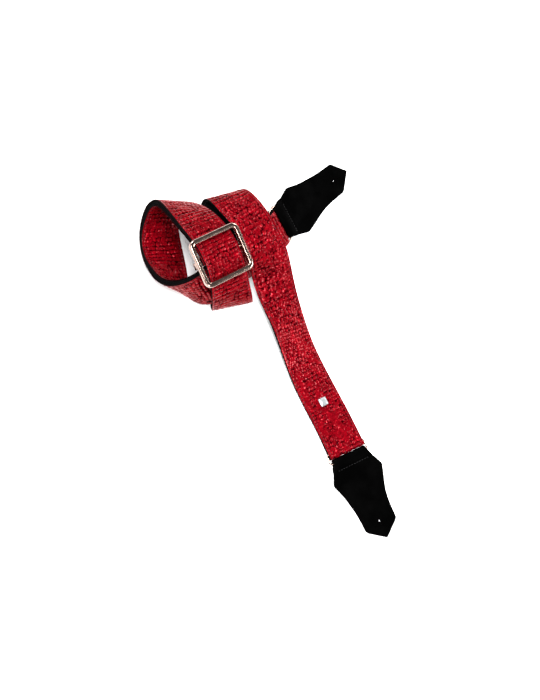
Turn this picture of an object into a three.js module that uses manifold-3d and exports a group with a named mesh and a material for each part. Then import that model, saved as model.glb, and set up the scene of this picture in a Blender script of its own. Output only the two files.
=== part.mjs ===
// An adjustable guitar strap of embossed leather, lying loosely coiled on a table.
// The strap runs from the front end through a rectangular slider to the rear ring,
// and back beside itself to the slider's centre bar. Millimetres, +Z up.
import * as THREE from 'three';
import { mergeVertices } from 'three/addons/utils/BufferGeometryUtils.js';
import Module from 'manifold-3d';

const wasm = await Module();
wasm.setup();

// Strap
const STRAP_WIDTH = 50.8;
const FACE = 1.2;
const LINING = 2.4;
const GAP = 0.3;
const STRIP_STEP = 7.5;
const FRONT_TAIL = 38;
const LINING_SET_BACK = 7.5;
const EDGE_SET_BACK = 0.6;

// Rings
const WIRE_RADIUS = 1.2;
const RING_WIDTH = 54.8;
const RING_LENGTH = 12;
const RING_CORNER = 3;
const FRONT_RING_INSET = 4;
const REAR_RING_INSET = 1;
const REAR_TAB_RAISED = 18;

// End tabs
const TAB_LEATHER = 2.6;
const TAB_LENGTH = 108.5;
const TAB_BASE = 48;
const TAB_WIDE = 73;
const TAB_WIDE_AT = 24.5;
const TAB_TIP = 46;
const TAB_TIP_AT = 92;
const TAB_HOLLOW = 0.3;
const TAB_FLAP = 34;
const TAB_FLAP_FLARE = 4;
const TAB_HOLE_AT = 86;
const TAB_HOLE_RADIUS = 2;
const TAB_SLIT = 6.5;
const TAB_SLIT_WIDTH = 0.8;

// Slider
const SLIDER_WIDTH = 71;
const SLIDER_LENGTH = 59;
const SLIDER_BAR = 6;
const SLIDER_DEPTH = 6;
const SLIDER_CORNER = 9;
const SLIDER_SIDEWAYS = 1.7;
const CENTRE_BAR_RADIUS = 1.6;
const LUG = 8;

// Stud
const STUD_SIDE = 10.5;
const STUD_HEIGHT = 2.6;
const STUD_POST = 1.4;
const STUD_FROM_END = 66;

// The strap's route from the front ring to the rear ring, along the middle of its
// thickness: x, y, z, and the azimuth and elevation of its width, in degrees.
const ROUTE = [
  [98, -120, 5, 27, 0],
  [77, -79, 4, 28, 0],
  [54, -40, 4, 28, -1],
  [34, -1, 7.5, 28, -13],
  [18, 36, 14, 28, -14],
  [1, 66, 23, 26, 2],
  [-12, 87, 38, 13, 15],
  [-22, 101, 58, 29, 2],
  [-35, 120, 68, 32, -6],
  [-50, 142, 68, 31, -1],
  [-65, 163, 60, 33, 4],
  [-75, 180, 46, 27, -6],
  [-75, 178, 25, 15, -5],
  [-70, 157, 10, 10, 4],
  [-64, 127, 3.5, 10, 4],
  [-59, 96, 3.5, 8, 1],
  [-56, 70, 6, 9, 10],
  [-55, 50, 14, 11, 15],
  [-59, 39, 33, 14, 17],
  [-69, 47, 57, 28, 3],
  [-80, 70, 78, 33, -6],
  [-97, 98, 88, 33, -5],
  [-115, 123, 79, 32, -8],
  [-129, 145, 64, 22, -17],
  [-139, 160, 47, 11, -23],
  [-147, 161, 29, 20, -20],
  [-149, 148, 14, 19, -23],
  [-146, 126, 5, 12, -6],
  [-140, 103, 4.5, 15, -4],
  [-136, 82, 11.5, 12, -19],
  [-129, 61, 17, 6, -37],
  [-118, 49, 30, -8, -45],
  [-96, 50, 48, -29, -44],
  [-74, 71, 55, -41, -30],
  [-54, 98, 39, -43, -34],
  [-19, 121, 23, -37, -36],
  [5.5, 153.5, 22.5, -37, -36],
];
const SLIDER_AT = 614;

// --- The route as a smooth curve ---------------------------------------------------

function widthOf([, , , azimuth, elevation]) {
  const a = THREE.MathUtils.degToRad(azimuth);
  const e = THREE.MathUtils.degToRad(elevation);
  return new THREE.Vector3(Math.cos(a) * Math.cos(e), Math.sin(a) * Math.cos(e), Math.sin(e));
}

function splinePoint(points, t) {
  const i = Math.min(Math.floor(t), points.length - 2);
  const u = t - i;
  const last = points.length - 1;
  const at = (k) => {
    if (k < 0) return points[0].clone().multiplyScalar(2).sub(points[1]);
    if (k > last) return points[last].clone().multiplyScalar(2).sub(points[last - 1]);
    return points[k].clone();
  };
  const weights = [
    (1 - u) ** 3,
    3 * u ** 3 - 6 * u ** 2 + 4,
    -3 * u ** 3 + 3 * u ** 2 + 3 * u + 1,
    u ** 3,
  ];
  const sum = new THREE.Vector3();
  weights.forEach((w, k) => sum.addScaledVector(at(i - 1 + k), w / 6));
  return sum;
}

const centres = ROUTE.map(([x, y, z]) => new THREE.Vector3(x, y, z));
const widths = ROUTE.map(widthOf);
const FINE = 24;
const fine = [];
for (let k = 0; k <= (ROUTE.length - 1) * FINE; k += 1) {
  const point = splinePoint(centres, k / FINE);
  const walked = k ? fine[k - 1].walked + point.distanceTo(fine[k - 1].point) : 0;
  fine.push({ point, width: splinePoint(widths, k / FINE), walked });
}
const ROUTE_LENGTH = fine.at(-1).walked;

// The place a given distance along the route: point, along, width and outer normal.
function placeAt(distance) {
  const inside = THREE.MathUtils.clamp(distance, 0, ROUTE_LENGTH);
  let k = fine.findIndex((f) => f.walked >= inside);
  k = Math.max(k, 1);
  const [a, b] = [fine[k - 1], fine[k]];
  const share = (inside - a.walked) / (b.walked - a.walked);
  const before = fine[Math.max(k - 3, 0)].point;
  const after = fine[Math.min(k + 2, fine.length - 1)].point;
  const along = after.clone().sub(before).normalize();
  const point = a.point.clone().lerp(b.point, share).addScaledVector(along, distance - inside);
  const width = a.width.clone().lerp(b.width, share);
  width.addScaledVector(along, -width.dot(along)).normalize();
  return { point, along, width, normal: width.clone().cross(along) };
}

// --- Solids ------------------------------------------------------------------------

// A closed solid through a list of outlines with equal numbers of points. The sides
// listed in crossed get a point in the middle of each patch, so that twisted layers
// that lie on each other keep the same shape.
function loft(outlines, closed = false, crossed = []) {
  const size = outlines[0].length;
  const positions = outlines.flat().flatMap((p) => [p.x, p.y, p.z]);
  const triangles = [];
  const steps = closed ? outlines.length : outlines.length - 1;
  for (let i = 0; i < steps; i += 1) {
    const j = (i + 1) % outlines.length;
    for (let k = 0; k < size; k += 1) {
      const m = (k + 1) % size;
      const [a, b, c, d] = [i * size + k, i * size + m, j * size + m, j * size + k];
      if (crossed.includes(k)) {
        const centre = new THREE.Vector3();
        [outlines[i][k], outlines[i][m], outlines[j][m], outlines[j][k]].forEach((p) => centre.add(p));
        centre.multiplyScalar(1 / 4);
        const e = positions.length / 3;
        positions.push(centre.x, centre.y, centre.z);
        triangles.push(a, b, e, b, c, e, c, d, e, d, a, e);
      } else {
        triangles.push(a, b, c, a, c, d);
      }
    }
  }
  if (!closed) {
    const end = (outlines.length - 1) * size;
    for (let k = 1; k < size - 1; k += 1) {
      triangles.push(0, k + 1, k);
      triangles.push(end, end + k, end + k + 1);
    }
  }
  const geometry = new THREE.BufferGeometry();
  geometry.setAttribute('position', new THREE.Float32BufferAttribute(positions, 3));
  geometry.setIndex(triangles);
  return outward(geometry);
}

function signedVolume(geometry) {
  const position = geometry.getAttribute('position');
  const index = geometry.getIndex();
  const corners = [new THREE.Vector3(), new THREE.Vector3(), new THREE.Vector3()];
  let volume = 0;
  for (let i = 0; i < index.count; i += 3) {
    corners.forEach((corner, k) => corner.fromBufferAttribute(position, index.getX(i + k)));
    volume += corners[0].dot(corners[1].clone().cross(corners[2])) / 6;
  }
  return volume;
}

// Turns a solid's triangles round when they face inwards.
function outward(geometry) {
  if (signedVolume(geometry) < 0) {
    const array = geometry.getIndex().array;
    for (let i = 0; i < array.length; i += 3) {
      [array[i], array[i + 1]] = [array[i + 1], array[i]];
    }
  }
  return geometry;
}

function toManifold(geometry) {
  const bare = geometry.clone();
  bare.deleteAttribute('normal');
  bare.deleteAttribute('uv');
  const merged = mergeVertices(bare, 1e-4);
  const vertProperties = new Float32Array(merged.getAttribute('position').array);
  const triVerts = new Uint32Array(merged.getIndex().array);
  return new wasm.Manifold(new wasm.Mesh({ numProp: 3, vertProperties, triVerts }));
}

function fromManifold(solid) {
  const { vertProperties, triVerts } = solid.getMesh();
  const geometry = new THREE.BufferGeometry();
  geometry.setAttribute('position', new THREE.Float32BufferAttribute(vertProperties, 3));
  geometry.setIndex(Array.from(triVerts));
  return geometry;
}

function cut(geometry, tools) {
  const solids = tools.map(toManifold);
  return fromManifold(solids.reduce((left, tool) => left.subtract(tool), toManifold(geometry)));
}

function join(geometries) {
  const [first, ...rest] = geometries.map(toManifold);
  return fromManifold(rest.reduce((left, next) => left.add(next), first));
}

// A flat strip along a path of { point, width, normal }, half of its width to each side.
function strip(path, halfWidth, thickness) {
  const outlines = path.map(({ point, width, normal }) => {
    const corner = (across, up) => point.clone()
      .addScaledVector(width, across * halfWidth)
      .addScaledVector(normal, (up * thickness) / 2);
    return [corner(-1, -1), corner(1, -1), corner(1, 1), corner(-1, 1)];
  });
  return loft(outlines, false, [0, 2]);
}

function mesh(name, geometry, finish) {
  const part = new THREE.Mesh(geometry, new THREE.MeshStandardMaterial(finish));
  part.name = name;
  return part;
}

const RED_LEATHER = { color: 0xb0122c, roughness: 0.35, metalness: 0 };
const BLACK_LINING = { color: 0x111113, roughness: 0.85, metalness: 0 };
const BLACK_LEATHER = { color: 0x0c0c0e, roughness: 0.6, metalness: 0 };
const NICKEL = { color: 0xb8b2a6, roughness: 0.2, metalness: 1 };
const BRIGHT_METAL = { color: 0xd8d8dc, roughness: 0.15, metalness: 1 };

// --- The strap's two layers --------------------------------------------------------

// Heights of each layer's middle over the route: the strap, then its return run.
const FACE_UP = (LINING + FACE + GAP) / 2 - FACE / 2;
const LINING_UP = -(LINING + FACE + GAP) / 2 + LINING / 2;
const RETURN_LINING_UP = LINING_UP - LINING - GAP;
const RETURN_FACE_UP = RETURN_LINING_UP - (LINING + FACE) / 2 - GAP;
const TAIL_UP = LINING_UP - (LINING + FACE) / 2 - GAP;
const FRONT_BAR_UP = (FACE_UP + TAIL_UP) / 2;
const FRONT_FOLD = (FACE_UP - TAIL_UP) / 2;

// At the rear ring the two runs part to go round the wire.
const REAR_FOLD = WIRE_RADIUS + GAP + LINING / 2;
const REAR_SPREAD = 2 * REAR_FOLD - (LINING_UP - RETURN_LINING_UP);
const REAR_SPREAD_LENGTH = 34;
const REAR_BAR_UP = LINING_UP - REAR_FOLD;

function spreadAt(distance) {
  const from = ROUTE_LENGTH - REAR_SPREAD_LENGTH;
  return REAR_SPREAD * THREE.MathUtils.smoothstep(distance, from, ROUTE_LENGTH);
}

function raised(place, up) {
  return { ...place, point: place.point.clone().addScaledVector(place.normal, up) };
}

// Every layer is sampled at the same places, so that layers in contact stay parallel.
const SAMPLES = Math.ceil(ROUTE_LENGTH / STRIP_STEP);
function distances(from, to) {
  const step = ROUTE_LENGTH / SAMPLES;
  const first = Math.round(from / step);
  const last = Math.round(to / step);
  const way = Math.sign(last - first);
  return Array.from({ length: Math.abs(last - first) + 1 }, (_, k) => (first + way * k) * step);
}

// Half a turn about a bar at one end of the route, from the first run to the second.
function fold(place, barUp, radius, outwards, startUp) {
  const middle = raised(place, barUp).point;
  const steps = 8;
  const places = [];
  for (let k = 1; k < steps; k += 1) {
    const angle = (Math.PI * k) / steps;
    const normal = place.normal.clone().multiplyScalar(Math.cos(angle) * startUp)
      .addScaledVector(place.along, Math.sin(angle) * outwards);
    places.push({ point: middle.clone().addScaledVector(normal, radius), width: place.width, normal });
  }
  return places;
}

const start = placeAt(0);
const end = placeAt(ROUTE_LENGTH);
const RETURN_STOP = 24;
const back = distances(ROUTE_LENGTH, SLIDER_AT + RETURN_STOP);
const flipped = (place) => ({ ...place, normal: place.normal.clone().negate() });

const facePath = [
  ...distances(FRONT_TAIL, 0).map((d) => flipped(raised(placeAt(d), TAIL_UP))),
  ...fold(start, FRONT_BAR_UP, FRONT_FOLD, -1, -1),
  ...distances(0, ROUTE_LENGTH).map((d) => raised(placeAt(d), FACE_UP)),
  ...fold(end, REAR_BAR_UP, FACE_UP - REAR_BAR_UP, 1, 1),
  ...back.map((d) => flipped(raised(placeAt(d), RETURN_FACE_UP - spreadAt(d)))),
];
const liningPath = [
  ...distances(LINING_SET_BACK, ROUTE_LENGTH).map((d) => raised(placeAt(d), LINING_UP)),
  ...fold(end, REAR_BAR_UP, REAR_FOLD, 1, 1),
  ...back.map((d) => flipped(raised(placeAt(d), RETURN_LINING_UP - spreadAt(d)))),
];

// --- Stud --------------------------------------------------------------------------

const studPlace = placeAt(STUD_FROM_END);

function onPlace(place, up) {
  const group = new THREE.Group();
  group.matrix.makeBasis(place.along, place.width.clone().negate(), place.normal);
  group.matrix.setPosition(raised(place, up).point);
  group.matrix.decompose(group.position, group.quaternion, group.scale);
  return group;
}

function studHole(radius) {
  const hole = new THREE.CylinderGeometry(radius, radius, 20, 20).rotateX(Math.PI / 2);
  const group = onPlace(studPlace, 0);
  group.updateMatrixWorld(true);
  return hole.applyMatrix4(group.matrixWorld);
}

function squareRing(half, z) {
  return [[-1, -1], [1, -1], [1, 1], [-1, 1]].map(([x, y]) => new THREE.Vector3(x * half, y * half, z));
}

const FACE_TOP = FACE_UP + FACE / 2;
const LINING_BOTTOM = LINING_UP - LINING / 2;
const stud = onPlace(studPlace, 0);
const capHalf = STUD_SIDE / 2;
const capBottom = FACE_TOP + GAP;
stud.add(mesh('stud_cap', loft([
  squareRing(capHalf, capBottom),
  squareRing(capHalf, capBottom + STUD_HEIGHT * 0.35),
  squareRing(capHalf * 0.62, capBottom + STUD_HEIGHT * 0.8),
  squareRing(capHalf * 0.1, capBottom + STUD_HEIGHT),
]), BRIGHT_METAL));
const postTop = capBottom - GAP;
const postBottom = LINING_BOTTOM - GAP - 1;
const post = new THREE.CylinderGeometry(STUD_POST, STUD_POST, postTop - postBottom, 16);
post.rotateX(Math.PI / 2).translate(0, 0, (postTop + postBottom) / 2);
stud.add(mesh('stud_post', post, BRIGHT_METAL));
const washer = new THREE.LatheGeometry([
  new THREE.Vector2(STUD_POST + GAP, -0.4),
  new THREE.Vector2(4, -0.4),
  new THREE.Vector2(4, 0.4),
  new THREE.Vector2(STUD_POST + GAP, 0.4),
  new THREE.Vector2(STUD_POST + GAP, -0.4),
], 20);
washer.rotateX(Math.PI / 2).translate(0, 0, LINING_BOTTOM - GAP - 0.4);
stud.add(mesh('stud_washer', washer, BRIGHT_METAL));

// --- Rings and end tabs ------------------------------------------------------------

// A rectangle of wire in the XY plane: one bar on the Y axis, the other at RING_LENGTH.
function wireRing() {
  const half = RING_WIDTH / 2;
  const corners = [[0, -half], [RING_LENGTH, -half], [RING_LENGTH, half], [0, half]];
  const places = corners.flatMap(([x, y], k) => {
    const centre = new THREE.Vector2(
      x + (x ? -RING_CORNER : RING_CORNER),
      y + (y > 0 ? -RING_CORNER : RING_CORNER),
    );
    return [0, 1, 2, 3].map((step) => {
      const angle = Math.PI + ((k + step / 3) * Math.PI) / 2;
      return { centre, angle };
    });
  });
  return loft(places.map(({ centre, angle }) => {
    const out = new THREE.Vector3(Math.cos(angle), Math.sin(angle), 0);
    const middle = new THREE.Vector3(centre.x, centre.y, 0).addScaledVector(out, RING_CORNER);
    return Array.from({ length: 10 }, (_, k) => {
      const turn = (2 * Math.PI * k) / 10;
      const point = middle.clone().addScaledVector(out, WIRE_RADIUS * Math.cos(turn));
      point.z += WIRE_RADIUS * Math.sin(turn);
      return point;
    });
  }), true);
}

// Half the tab's width at a distance from its bar: a wedge, a hollow curve, a point.
function tabHalf(x) {
  if (x <= TAB_WIDE_AT) {
    return THREE.MathUtils.lerp(TAB_BASE, TAB_WIDE, Math.max(x, 0) / TAB_WIDE_AT) / 2;
  }
  if (x <= TAB_TIP_AT) {
    const share = (x - TAB_WIDE_AT) / (TAB_TIP_AT - TAB_WIDE_AT);
    const hollow = TAB_HOLLOW * Math.sin(Math.PI * share);
    return THREE.MathUtils.lerp(TAB_WIDE, TAB_TIP, share + hollow) / 2;
  }
  return (TAB_TIP / 2) * ((TAB_LENGTH - x) / (TAB_LENGTH - TAB_TIP_AT));
}

const TAB_FOLD = WIRE_RADIUS + GAP + TAB_LEATHER / 2;
const TAB_LOW = -TAB_FOLD;
const TAB_PRESSED = TAB_LOW + TAB_LEATHER + GAP;

// Height of the tab's top layer over its bar: over the wire, on the flap, on the table.
function tabHeight(x) {
  const onFlap = THREE.MathUtils.smoothstep(x, 2, 16);
  const offFlap = THREE.MathUtils.smoothstep(x, TAB_FLAP, TAB_FLAP + 26);
  return THREE.MathUtils.lerp(TAB_FOLD, TAB_PRESSED, onFlap) + (TAB_LOW - TAB_PRESSED) * offFlap;
}

// A place on the tab's top layer, square to its slope, with its own half width.
function topPlace(x) {
  const slope = tabHeight(x + 0.5) - tabHeight(x - 0.5);
  const normal = new THREE.Vector3(-slope, 0, 1).normalize();
  const width = new THREE.Vector3(0, tabHalf(x), 0);
  return { point: new THREE.Vector3(x, 0, tabHeight(x)), width, normal };
}

// A place on the flap folded under the tab.
function flatPlace(x, z, half) {
  const normal = new THREE.Vector3(0, 0, -1);
  return { point: new THREE.Vector3(x, 0, z), width: new THREE.Vector3(0, half, 0), normal };
}

function tab() {
  const flap = [TAB_FLAP, 24, 12, 0].map((x) => {
    const half = Math.min(tabHalf(x), TAB_BASE / 2 + TAB_FLAP_FLARE);
    return flatPlace(x, TAB_LOW, half);
  });
  const round = Array.from({ length: 9 }, (_, k) => {
    const angle = -Math.PI / 2 - (Math.PI * (k + 1)) / 10;
    const normal = new THREE.Vector3(Math.cos(angle), 0, Math.sin(angle));
    const point = normal.clone().multiplyScalar(TAB_FOLD);
    return { point, width: new THREE.Vector3(0, TAB_BASE / 2, 0), normal };
  });
  const topSteps = 24;
  const top = Array.from({ length: topSteps + 1 }, (_, k) => topPlace((k * (TAB_LENGTH - 0.5)) / topSteps));
  const body = strip([...flap, ...round, ...top], 1, TAB_LEATHER);
  const hole = new THREE.CylinderGeometry(TAB_HOLE_RADIUS, TAB_HOLE_RADIUS, 12, 20);
  hole.rotateX(Math.PI / 2).translate(TAB_HOLE_AT, 0, TAB_LOW);
  const slit = new THREE.BoxGeometry(TAB_SLIT, TAB_SLIT_WIDTH, 12);
  slit.translate(TAB_HOLE_AT + TAB_SLIT / 2, 0, TAB_LOW);
  return cut(body, [hole, slit]);
}

// A ring on its bar, and a tab on the ring's other bar, leaving the strap's end outwards.
function endFitting(name, place, barUp, outwards, inset, raisedBy) {
  const ring = new THREE.Group();
  const level = THREE.MathUtils.radToDeg(Math.asin(place.along.z * outwards));
  const out = place.along.clone().multiplyScalar(outwards);
  const side = place.normal.clone().cross(out);
  ring.matrix.makeBasis(out, side, place.normal);
  ring.matrix.setPosition(raised(place, barUp).point.addScaledVector(out, -inset));
  ring.matrix.decompose(ring.position, ring.quaternion, ring.scale);
  ring.add(mesh(`${name}_ring`, wireRing(), NICKEL));
  const swing = new THREE.Group();
  swing.position.x = RING_LENGTH;
  swing.rotateY(THREE.MathUtils.degToRad(level - raisedBy));
  swing.add(mesh(`${name}_tab`, tab(), BLACK_LEATHER));
  ring.add(swing);
  return ring;
}

// --- Slider ------------------------------------------------------------------------

// The strap bends to this arc inside the slider, so the slider turns about the arc's
// axis as it moves along the strap.
const ARC_RADIUS = 68;
const sliderReach = SLIDER_LENGTH / 2 - SLIDER_BAR / 2;
const sliderPlace = placeAt(SLIDER_AT);
sliderPlace.along = placeAt(SLIDER_AT + sliderReach).point
  .sub(placeAt(SLIDER_AT - sliderReach).point).normalize();
const slant = sliderPlace.width.dot(sliderPlace.along);
sliderPlace.width.addScaledVector(sliderPlace.along, -slant).normalize();
sliderPlace.normal = sliderPlace.width.clone().cross(sliderPlace.along);
const CLEAR = 1.5;
const innerEdge = SLIDER_LENGTH / 2 - SLIDER_BAR;
const FRAME_BOTTOM = Math.sqrt((ARC_RADIUS + FACE_TOP + CLEAR) ** 2 - innerEdge ** 2) - ARC_RADIUS;
const FRAME_MIDDLE = FRAME_BOTTOM + SLIDER_DEPTH / 2;
const LOOP_TOP = LINING_BOTTOM - 0.7;
const CENTRE_BAR_UP = LOOP_TOP - FACE - GAP - CENTRE_BAR_RADIUS;

function roundedRectangle(halfX, halfY, corner) {
  const shape = new THREE.Shape();
  shape.moveTo(-halfX + corner, -halfY);
  shape.lineTo(halfX - corner, -halfY);
  shape.absarc(halfX - corner, -halfY + corner, corner, -Math.PI / 2, 0, false);
  shape.lineTo(halfX, halfY - corner);
  shape.absarc(halfX - corner, halfY - corner, corner, 0, Math.PI / 2, false);
  shape.lineTo(-halfX + corner, halfY);
  shape.absarc(-halfX + corner, halfY - corner, corner, Math.PI / 2, Math.PI, false);
  shape.lineTo(-halfX, -halfY + corner);
  shape.absarc(-halfX + corner, -halfY + corner, corner, Math.PI, 1.5 * Math.PI, false);
  return shape;
}

function sliderFrame() {
  const outer = roundedRectangle(SLIDER_LENGTH / 2, SLIDER_WIDTH / 2, SLIDER_CORNER);
  const inner = SLIDER_CORNER - SLIDER_BAR + 2;
  outer.holes.push(roundedRectangle(innerEdge, SLIDER_WIDTH / 2 - SLIDER_BAR, inner));
  const bevel = 0.9;
  const frame = new THREE.ExtrudeGeometry(outer, {
    depth: SLIDER_DEPTH - 2 * bevel,
    bevelThickness: bevel,
    bevelSize: bevel,
    bevelOffset: -bevel,
    bevelSegments: 2,
    curveSegments: 6,
  });
  frame.translate(0, 0, FRAME_MIDDLE - SLIDER_DEPTH / 2 + bevel);
  const lugBottom = CENTRE_BAR_UP - CENTRE_BAR_RADIUS - 1.2;
  const lugTop = FRAME_MIDDLE;
  const lugWidth = 2.8;
  const lugs = [-1, 1].map((sideways) => {
    const lug = new THREE.BoxGeometry(LUG, lugWidth, lugTop - lugBottom);
    const y = sideways * (SLIDER_WIDTH / 2 - SLIDER_BAR / 2);
    return lug.translate(0, y, (lugTop + lugBottom) / 2);
  });
  return join([frame, ...lugs]);
}

function centreBar() {
  const length = SLIDER_WIDTH - SLIDER_BAR - 2.8 - 2 * GAP;
  const bar = new THREE.CylinderGeometry(CENTRE_BAR_RADIUS, CENTRE_BAR_RADIUS, length, 16);
  return bar.translate(0, 0, CENTRE_BAR_UP);
}

// The strap's end, turned round the centre bar and lying back under the running strap.
function barLoop() {
  const radius = CENTRE_BAR_RADIUS + GAP + FACE / 2;
  const tail = 14;
  const topRadius = ARC_RADIUS + CENTRE_BAR_UP + radius;
  const arc = (x, drop) => {
    const angle = x / ARC_RADIUS;
    const normal = new THREE.Vector3(Math.sin(angle), 0, Math.cos(angle));
    const point = normal.clone().multiplyScalar(topRadius - drop);
    point.z -= ARC_RADIUS;
    return { point, width: new THREE.Vector3(0, 1, 0), normal };
  };
  const fall = (x) => THREE.MathUtils.lerp(2 * radius, FACE + GAP, THREE.MathUtils.smoothstep(x, 2, 10));
  const over = [tail, 10, 7, 4, 0].map((x) => arc(x, 0));
  const round = Array.from({ length: 7 }, (_, k) => {
    const angle = (Math.PI * (k + 1)) / 8;
    const normal = new THREE.Vector3(-Math.sin(angle), 0, Math.cos(angle));
    const point = normal.clone().multiplyScalar(radius);
    point.z += CENTRE_BAR_UP;
    return { point, width: new THREE.Vector3(0, 1, 0), normal };
  });
  const under = [0, 3, 5, 7, 9, 11, tail].map((x) => {
    const place = arc(x, fall(x));
    return { ...place, normal: place.normal.clone().negate() };
  });
  return strip([...over, ...round, ...under], STRAP_WIDTH / 2, FACE);
}

const slider = onPlace(sliderPlace, 0);
slider.add(mesh('slider_frame', sliderFrame().translate(0, SLIDER_SIDEWAYS, 0), NICKEL));
slider.add(mesh('slider_bar', centreBar().translate(0, SLIDER_SIDEWAYS, 0), NICKEL));
slider.add(mesh('bar_loop', barLoop(), RED_LEATHER));

// --- Assembly ----------------------------------------------------------------------

const strap = new THREE.Group();
const face = strip(facePath, STRAP_WIDTH / 2, FACE);
const lining = strip(liningPath, STRAP_WIDTH / 2 - EDGE_SET_BACK, LINING);
strap.add(mesh('strap_face', cut(face, [studHole(STUD_POST + GAP)]), RED_LEATHER));
strap.add(mesh('strap_lining', cut(lining, [studHole(STUD_POST + GAP)]), BLACK_LINING));
strap.add(stud);
strap.add(slider);
strap.add(endFitting('front', start, FRONT_BAR_UP, -1, FRONT_RING_INSET, 0));
strap.add(endFitting('rear', end, REAR_BAR_UP, 1, REAR_RING_INSET, REAR_TAB_RAISED));

// The origin is at the middle of the foot of the whole.
strap.updateMatrixWorld(true);
const box = new THREE.Box3().setFromObject(strap, true);
const middle = box.getCenter(new THREE.Vector3());
strap.position.set(-middle.x, -middle.y, -box.min.z);

export default strap;
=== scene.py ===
import math

import bpy
import numpy as np
from mathutils import Matrix, Vector

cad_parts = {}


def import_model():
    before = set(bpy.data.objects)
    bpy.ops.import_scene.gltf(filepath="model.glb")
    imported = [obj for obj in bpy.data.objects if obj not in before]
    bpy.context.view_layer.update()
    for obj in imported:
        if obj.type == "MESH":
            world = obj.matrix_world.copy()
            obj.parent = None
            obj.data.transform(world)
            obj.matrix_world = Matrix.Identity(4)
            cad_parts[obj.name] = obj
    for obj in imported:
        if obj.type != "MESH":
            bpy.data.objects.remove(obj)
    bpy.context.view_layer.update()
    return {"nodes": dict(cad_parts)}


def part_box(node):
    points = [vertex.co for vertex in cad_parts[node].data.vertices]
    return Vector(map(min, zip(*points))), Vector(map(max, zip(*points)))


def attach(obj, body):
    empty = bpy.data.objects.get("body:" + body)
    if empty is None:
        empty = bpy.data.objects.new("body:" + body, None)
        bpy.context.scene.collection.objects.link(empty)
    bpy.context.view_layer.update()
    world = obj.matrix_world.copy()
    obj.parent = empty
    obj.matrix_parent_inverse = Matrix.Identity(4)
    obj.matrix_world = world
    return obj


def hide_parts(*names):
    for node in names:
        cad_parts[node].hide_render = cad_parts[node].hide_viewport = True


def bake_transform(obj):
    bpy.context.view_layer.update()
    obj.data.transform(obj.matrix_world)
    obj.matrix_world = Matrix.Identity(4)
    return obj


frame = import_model()

# --- Sizes, in metres --------------------------------------------------------------

STRAP_WIDTH = 0.0508
FACE = 0.0012
LINING = 0.0024
GAP = 0.0003
FRONT_TAIL = 0.038
FRONT_TAIL_ASKEW = 0.0014
LINING_SET_BACK = 0.0075
EDGE_SET_BACK = 0.0006
SLIDER_AT = 0.614
RETURN_STOP = 0.024

WIRE_RADIUS = 0.0012
RING_WIDTH = 0.0548
RING_LENGTH = 0.012
RING_CORNER = 0.003
FRONT_RING_INSET = 0.004
REAR_RING_INSET = 0.001
REAR_TAB_RAISED = math.radians(18)

TAB_LEATHER = 0.0026
TAB_LENGTH = 0.1085
TAB_BASE = 0.048
TAB_WIDE = 0.073
TAB_WIDE_AT = 0.0245
TAB_TIP = 0.046
TAB_TIP_AT = 0.092
TAB_FLAP = 0.034
TAB_HOLLOW = 0.3
TAB_HOLE_AT = 0.086
TAB_HOLE_RADIUS = 0.0014
TAB_SLIT = 0.0065
TAB_SEAM_AT = 0.0105

SLIDER_WIDTH = 0.071
SLIDER_LENGTH = 0.059
SLIDER_BAR = 0.006
SLIDER_DEPTH = 0.006
SLIDER_CORNER = 0.009
SLIDER_SIDEWAYS = 0.0017
CENTRE_BAR_RADIUS = 0.0016
LUG = 0.008
ARC_RADIUS = 0.068
CLEAR = 0.0015

STUD_SIDE = 0.0105
STUD_HEIGHT = 0.0026
STUD_FROM_END = 0.066

# The strap's route from the front ring to the rear ring, along the middle of its
# thickness: x, y, z, and the azimuth and elevation of its width, in degrees.
ROUTE = [
    (0.098, -0.120, 0.005, 27, 0),
    (0.077, -0.079, 0.004, 28, 0),
    (0.054, -0.040, 0.004, 28, -1),
    (0.034, -0.001, 0.0075, 28, -13),
    (0.018, 0.036, 0.014, 28, -14),
    (0.001, 0.066, 0.023, 26, 2),
    (-0.012, 0.087, 0.038, 13, 15),
    (-0.022, 0.101, 0.058, 29, 2),
    (-0.035, 0.120, 0.068, 32, -6),
    (-0.050, 0.142, 0.068, 31, -1),
    (-0.065, 0.163, 0.060, 33, 4),
    (-0.075, 0.180, 0.046, 27, -6),
    (-0.075, 0.178, 0.025, 15, -5),
    (-0.070, 0.157, 0.010, 10, 4),
    (-0.064, 0.127, 0.0035, 10, 4),
    (-0.059, 0.096, 0.0035, 8, 1),
    (-0.056, 0.070, 0.006, 9, 10),
    (-0.055, 0.050, 0.014, 11, 15),
    (-0.059, 0.039, 0.033, 14, 17),
    (-0.069, 0.047, 0.057, 28, 3),
    (-0.080, 0.070, 0.078, 33, -6),
    (-0.097, 0.098, 0.088, 33, -5),
    (-0.115, 0.123, 0.079, 32, -8),
    (-0.129, 0.145, 0.064, 22, -17),
    (-0.139, 0.160, 0.047, 11, -23),
    (-0.147, 0.161, 0.029, 20, -20),
    (-0.149, 0.148, 0.014, 19, -23),
    (-0.146, 0.126, 0.005, 12, -6),
    (-0.140, 0.103, 0.0045, 15, -4),
    (-0.136, 0.082, 0.0115, 12, -19),
    (-0.129, 0.061, 0.017, 6, -37),
    (-0.118, 0.049, 0.030, -8, -45),
    (-0.096, 0.050, 0.048, -29, -44),
    (-0.074, 0.071, 0.055, -41, -30),
    (-0.054, 0.098, 0.039, -43, -34),
    (-0.019, 0.121, 0.023, -37, -36),
    (0.0055, 0.1535, 0.0225, -37, -36),
]

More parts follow.
